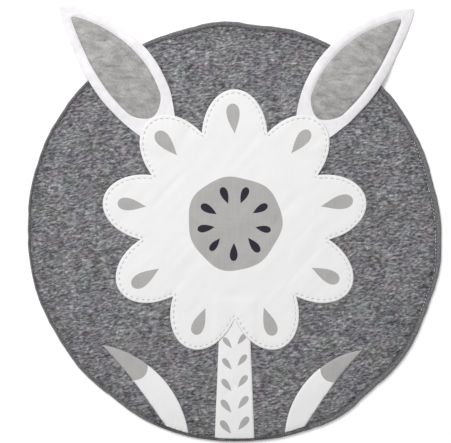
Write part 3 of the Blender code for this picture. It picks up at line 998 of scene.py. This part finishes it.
def build_flap(side):
    """The flannel shell: front and back meet in the seam round the edge."""
    length = LEAVES[side][3]
    round_tip = np.radians(np.linspace(-40, 82, TIP_ROWS))
    along = np.concatenate([
        np.linspace(0.0, length - TIP_FROM, LEAF_ROWS - TIP_ROWS),
        length - TIP_CENTRE + TIP_RADIUS * np.sin(round_tip),
    ])
    half = flap_half(side, along)
    inner = np.maximum(inset_half(half, along), MIDDLE_LEAST * half)
    toward_edge = np.sin(np.linspace(0.0, math.pi / 2.0, 15))
    columns = [inner * share for share in MIDDLE_SHARES]
    columns += [inner + (half - inner) * share for share in toward_edge]
    offsets = np.array([-column for column in columns[:0:-1]] + columns).T
    along, aside, half, x, y = flap_points(side, along, offsets, half)
    top, under = flap_top(side, along, aside, half, x, y), flap_under(x, y)
    sunk = np.minimum(UNDER_PLUSH, UNDER_PLUSH_SHARE * (top - under))
    top -= sunk * smooth((inset_half(half, along) - np.abs(aside)) / UNDER_PLUSH_RUN)
    under += BACK_LIFT - BELLY * smooth(1.0 - share_of(np.abs(aside), half) ** 6)
    points = np.concatenate([np.column_stack([x, y, top]), np.column_stack([x, y, under])])
    front = np.arange(len(x)).reshape(offsets.shape).T
    edge = np.concatenate([front[0, :-1], front[:-1, -1], front[-1, :0:-1], front[:0:-1, 0]])
    after = np.roll(edge, -1)
    seam = np.column_stack([edge, edge + len(x), after + len(x), after])
    faces = grid_faces(front) + grid_faces(front[::-1] + len(x)) + seam.tolist()
    flap = add_piece(
        f"stuffed_flap_{side}", points, faces, [flannel], "white_cotton", [f"leaf_{side}"]
    )


def brushed_plush():
    """Short polyester plush, 1 mm of pile, brushed by hand: the pile leans in patches 26 mm by
    14 mm that catch the light differently, so the grey goes from pale to dark between them. The
    fibres are 0.1 mm, and are drawn as tufts 4 mm by 3 mm."""
    finish, add, sockets, place = new_finish(
        "brushed_plush", Roughness=1.0, Specular_IOR_Level=0.12, Sheen_Weight=0.20,
        Sheen_Roughness=0.35,
    )
    tones = []
    for size, turn in (((0.026, 0.014, 0.014), -0.3), ((0.0042, 0.0030, 0.003), 0.5)):
        lying = add(
            "Mapping", {"Vector": place, "Rotation": (0.0, 0.0, turn), "Scale": size},
            vector_type="TEXTURE",
        )
        tones.append(add(
            "TexNoise", {"Vector": lying[0], "Scale": 1.0, "Detail": 2.5, "Roughness": 0.62}
        )["Fac"])
    pile = add("Mix", {0: 0.42, 2: tones[0], 3: tones[1]})[0]
    add(
        "ValToRGB", {"Fac": pile}, to=sockets["Base Color"],
        stops=((0.30, "#787776"), (0.44, "#8f8e8d"), (0.56, "#9f9e9d"), (0.70, "#b1b0af")),
    )
    add("Bump", {"Height": pile, "Distance": 0.0012, "Strength": 0.5}, to=sockets["Normal"])
    return finish


plush = brushed_plush()


def build_plush_panel(side):
    """The panel's rows lie closer near its two ends, where it is rounded."""
    ends = PLUSH_END * np.linspace(PLUSH_FIRST_ROW, 1.0, PLUSH_END_ROWS) ** 2
    rows = PLUSH_ROWS - 2 * (PLUSH_END_ROWS - 1)
    along = np.concatenate([
        INSET_STARTS + ends,
        np.linspace(INSET_STARTS + PLUSH_END, INSET_ENDS - PLUSH_END, rows)[1:-1],
        INSET_ENDS - ends[::-1],
    ])
    half = flap_half(side, along)
    halves = inset_half(half, along)
    area = float(((halves[1:] + halves[:-1]) * np.diff(along)).sum())
    offsets = np.outer(halves, np.linspace(-1.0, 1.0, PLUSH_COLUMNS))
    along, aside, half, x, y = flap_points(side, along, offsets, half)
    from_edge = inset_half(half, along) - np.abs(aside)
    height = flap_top(side, along, aside, half, x, y)
    height -= PLUSH_EDGE_DROP * (1.0 - smooth(from_edge / PLUSH_EDGE_RUN))
    panel = add_piece(
        f"plush_panel_{side}", np.column_stack([x, y, height]),
        grid_faces(np.arange(len(x)).reshape(offsets.shape).T), [plush], "grey_plush",
        [f"leaf_{side}_inset"],
    )
    thicken(panel, PLUSH)


for side in LEAVES:
    build_flap(side)
    build_plush_panel(side)


# The flower. One large cut of white cotton with nine petals, printed with a light grey heart, a
# ring of charcoal seeds and a grey drop on each petal. A running stitch in thick grey thread
# 7 mm inside the edge holds it to the disc and draws it into the wadding.

PETALS = 9
PETAL_DEGREES = 360.0 / PETALS
PETAL_STEPS = 30
PETAL_OFFSET = 0.185
PETAL_ALONG = 0.100
PETAL_ACROSS = 0.070
FLOWER_CELL = 0.0036
STITCH_INSET = 0.0072
NEARLY = 0.985
STITCH = 0.0080
STITCH_GAP = 0.0042
THREAD = 0.00052
GROOVE_DEPTH = 0.0009
GROOVE_BEAT = 0.35
GROOVE_HALF = 0.0038
GROOVE_RIPPLE = 0.00022
RIPPLE_RUN = 0.008
FLOWER_SINKS = (0.0022, 0.006)
LEAF_LIFT = 0.0019
LEAF_LIFT_REACH = 0.046
LEAF_LIFT_RUN = 0.030
STEM_LIFT = 0.0014
STEM_LIFT_HALF = 0.036
STEM_LIFT_SIDE_RUN = 0.016
STEM_LIFT_PAST = 0.006
STEM_LIFT_RUN = 0.020
HEART_RADIUS = 0.100
HEART_WAVES = ((0.0026, 3, 0.4), (0.0016, 7, 2.0))
# Each has its ink, how far it is toward the next petal, its ring, length and half-width, how
# much it strays, swells and leans, and its outline's steps and pinch.
SEED = (2, 0.5, 0.062, 0.036, 0.0105, 2.5, 0.08, 5.0, 28, 0.55)
DROP = (1, 0.0, 0.222, 0.066, 0.020, 1.5, 0.07, 4.0, 40, 0.70)
FLOWER_CREASES = (
    ((-190, 30), (-95, 140), 5, -0.9, 7), ((-70, -75), (-20, 5), -4, -0.7, 7),
    ((60, -20), (150, 95), 6, -0.9, 8), ((-30, 120), (60, 225), -5, -0.8, 8),
    ((100, -130), (190, -25), 5, -0.9, 7), ((-150, -150), (-90, -85), 4, -0.7, 7),
)


def petal_outline():
    """The petals' outer edges, from notch to notch, each an arc of its ellipse."""
    half = math.pi / PETALS
    a, b = PETAL_ALONG, PETAL_ACROSS
    square = (math.cos(half) / a) ** 2 + (math.sin(half) / b) ** 2
    straight = PETAL_OFFSET * math.cos(half) / a ** 2
    constant = (PETAL_OFFSET / a) ** 2 - 1.0
    notch = (straight + math.sqrt(straight ** 2 - square * constant)) / square
    end = math.atan2(notch * math.sin(half) / b, (notch * math.cos(half) - PETAL_OFFSET) / a)
    phase = end * (2.0 * np.arange(PETAL_STEPS) / PETAL_STEPS - 1.0)
    out, aside = PETAL_OFFSET + a * np.cos(phase), b * np.sin(phase)
    aims = [90.0 + PETAL_DEGREES * petal for petal in range(PETALS)]
    return np.concatenate([toward(FLOWER_CENTRE, aim, out, aside) for aim in aims])


def inset_path(loop, distance):
    """The line that runs that far inside a closed loop."""
    fine = spaced(loop, OUTLINE_STEP / 2.0)
    tangent = np.roll(fine, -1, axis=0) - np.roll(fine, 1, axis=0)
    tangent /= np.hypot(*tangent.T)[:, None]
    moved = fine + distance * np.column_stack([-tangent[:, 1], tangent[:, 0]])
    return moved[depth_in(loop, *moved.T) > distance * NEARLY]


def tuck_lift(x, y):
    """How far the roots of the leaves and the head of the stem lift the flower."""
    lift = np.zeros(len(x))
    for leaf in LEAVES.values():
        root_x, root_y = curved_leaf(*leaf)[1](ROOT_RUN / 2.0, 0.0)
        away = np.hypot(x - root_x, y - root_y)
        near = 1.0 - smooth((away - LEAF_LIFT_REACH) / LEAF_LIFT_RUN)
        lift = np.maximum(lift, LEAF_LIFT * near)
    beside = 1.0 - smooth((np.abs(x) - STEM_LIFT_HALF) / STEM_LIFT_SIDE_RUN)
    above = 1.0 - smooth((y - STEM_TOP_Y - STEM_LIFT_PAST) / STEM_LIFT_RUN)
    return np.maximum(lift, STEM_LIFT * beside * above)


def heart_outline():
    """The heart: a circle that wavers a little, as drawn by hand."""
    turn = turns(150)
    radius = HEART_RADIUS + sum(
        height * np.sin(count * turn + phase) for height, count, phase in HEART_WAVES
    )
    return radius[:, None] * np.column_stack([np.cos(turn), np.sin(turn)]) + FLOWER_CENTRE


def flower_prints():
    """The heart, the seeds and the drops, each a little unlike the next as drawn by hand."""
    rng = np.random.default_rng(61)
    loops, inks = [heart_outline()], [1]
    for petal in range(PETALS):
        for ink, on, ring, length, half, strays, swells, leans, steps, pinch in (SEED, DROP):
            aim = 90.0 + PETAL_DEGREES * (petal + on) + rng.uniform(-strays, strays)
            size = 1.0 + rng.uniform(-swells, swells)
            centre = toward(FLOWER_CENTRE, aim, ring)
            aim += rng.uniform(-leans, leans)
            loops.append(drop(centre, aim, length * size, half * size, steps, pinch))
            inks.append(ink)
    return loops, inks


def build_flower():
    outline = petal_outline()
    path = inset_path(outline, STITCH_INSET)

    def height(x, y):
        away, along = nearest_on(path, x, y)
        beat = np.cos(math.tau * along / (STITCH + STITCH_GAP))
        pull = 1.0 - GROOVE_BEAT * (1.0 - beat)
        groove = GROOVE_DEPTH * pull * np.exp(-(away / GROOVE_HALF) ** 2)
        groove += GROOVE_RIPPLE * beat * np.exp(-away / RIPPLE_RUN) + edge_drop(outline, x, y)
        soft = drag_lines(x, y, 65) + creased(x, y, FLOWER_CREASES)
        return wadding_top(x, y) + LIES_AT + tuck_lift(x, y) - groove + soft

    loops, inks = flower_prints()
    sew_on("flower", outline, FLOWER_CELL, loops, height, inks, sinks=FLOWER_SINKS)
    stitches = sew(path, height, STITCH, STITCH_GAP, THREAD, wander=0.10, seed=63)
    thread = spun_thread("pale_grey_thread", "#b3b1b0", "#9f9d9c")
    add_piece("running_stitch", *stitches, [thread])


build_flower()


# The studio. A plain white floor, an even white sky and one large soft lamp at the upper left,
# seen from straight above as in the photograph. Its frame is 451 by 443 pixels, the disc's
# circle is 416 pixels across, and its centre is at pixel 234.6, 232.3.

PHOTO_WIDTH = 451
PHOTO_HEIGHT = 443
DISC_PIXELS = 416.0
DISC_CENTRE_PIXEL = (234.6, 232.3)
METRES_PER_PIXEL = 2.0 * MAT_RADIUS / DISC_PIXELS
CAMERA_HEIGHT = 3.4
FLOOR_SIZE = 40.0
FLOOR_LEVEL = -0.0002
SKY_STRENGTH = 0.650
LAMP_ACROSS = 2.2
LAMP_POWER = 131.5
LAMP_PLACE = (-1.45, 2.45, 2.95)


def build_studio():
    scene = bpy.context.scene
    bpy.ops.mesh.primitive_plane_add(size=FLOOR_SIZE, location=(0.0, 0.0, FLOOR_LEVEL))
    floor = bpy.context.object
    floor.name = "floor"
    paint = new_finish("white_backdrop_paint", Roughness=0.9, Base_Color=linear("#fcfcfc"))[0]
    floor.data.materials.append(paint)

    sky = bpy.data.worlds.new("sky")
    sky.use_nodes = True
    background = sky.node_tree.nodes["Background"]
    background.inputs["Color"].default_value = (1.0, 1.0, 1.0, 1.0)
    background.inputs["Strength"].default_value = SKY_STRENGTH
    scene.world = sky

    lamp = bpy.data.lights.new("softbox", "AREA")
    lamp.shape = "DISK"
    lamp.size = LAMP_ACROSS
    lamp.energy = LAMP_POWER
    softbox = add_object("softbox", lamp)
    softbox.location = LAMP_PLACE
    softbox.rotation_euler = (-softbox.location).to_track_quat("-Z", "Y").to_euler()

    lens = bpy.data.cameras.new("camera")
    lens.lens = lens.sensor_width * CAMERA_HEIGHT / (PHOTO_WIDTH * METRES_PER_PIXEL)
    camera = add_object("camera", lens)
    camera.location = (
        (PHOTO_WIDTH / 2.0 - DISC_CENTRE_PIXEL[0]) * METRES_PER_PIXEL,
        (DISC_CENTRE_PIXEL[1] - PHOTO_HEIGHT / 2.0) * METRES_PER_PIXEL,
        CAMERA_HEIGHT,
    )
    scene.camera = camera
    scene.view_settings.view_transform = "Standard"


build_studio()
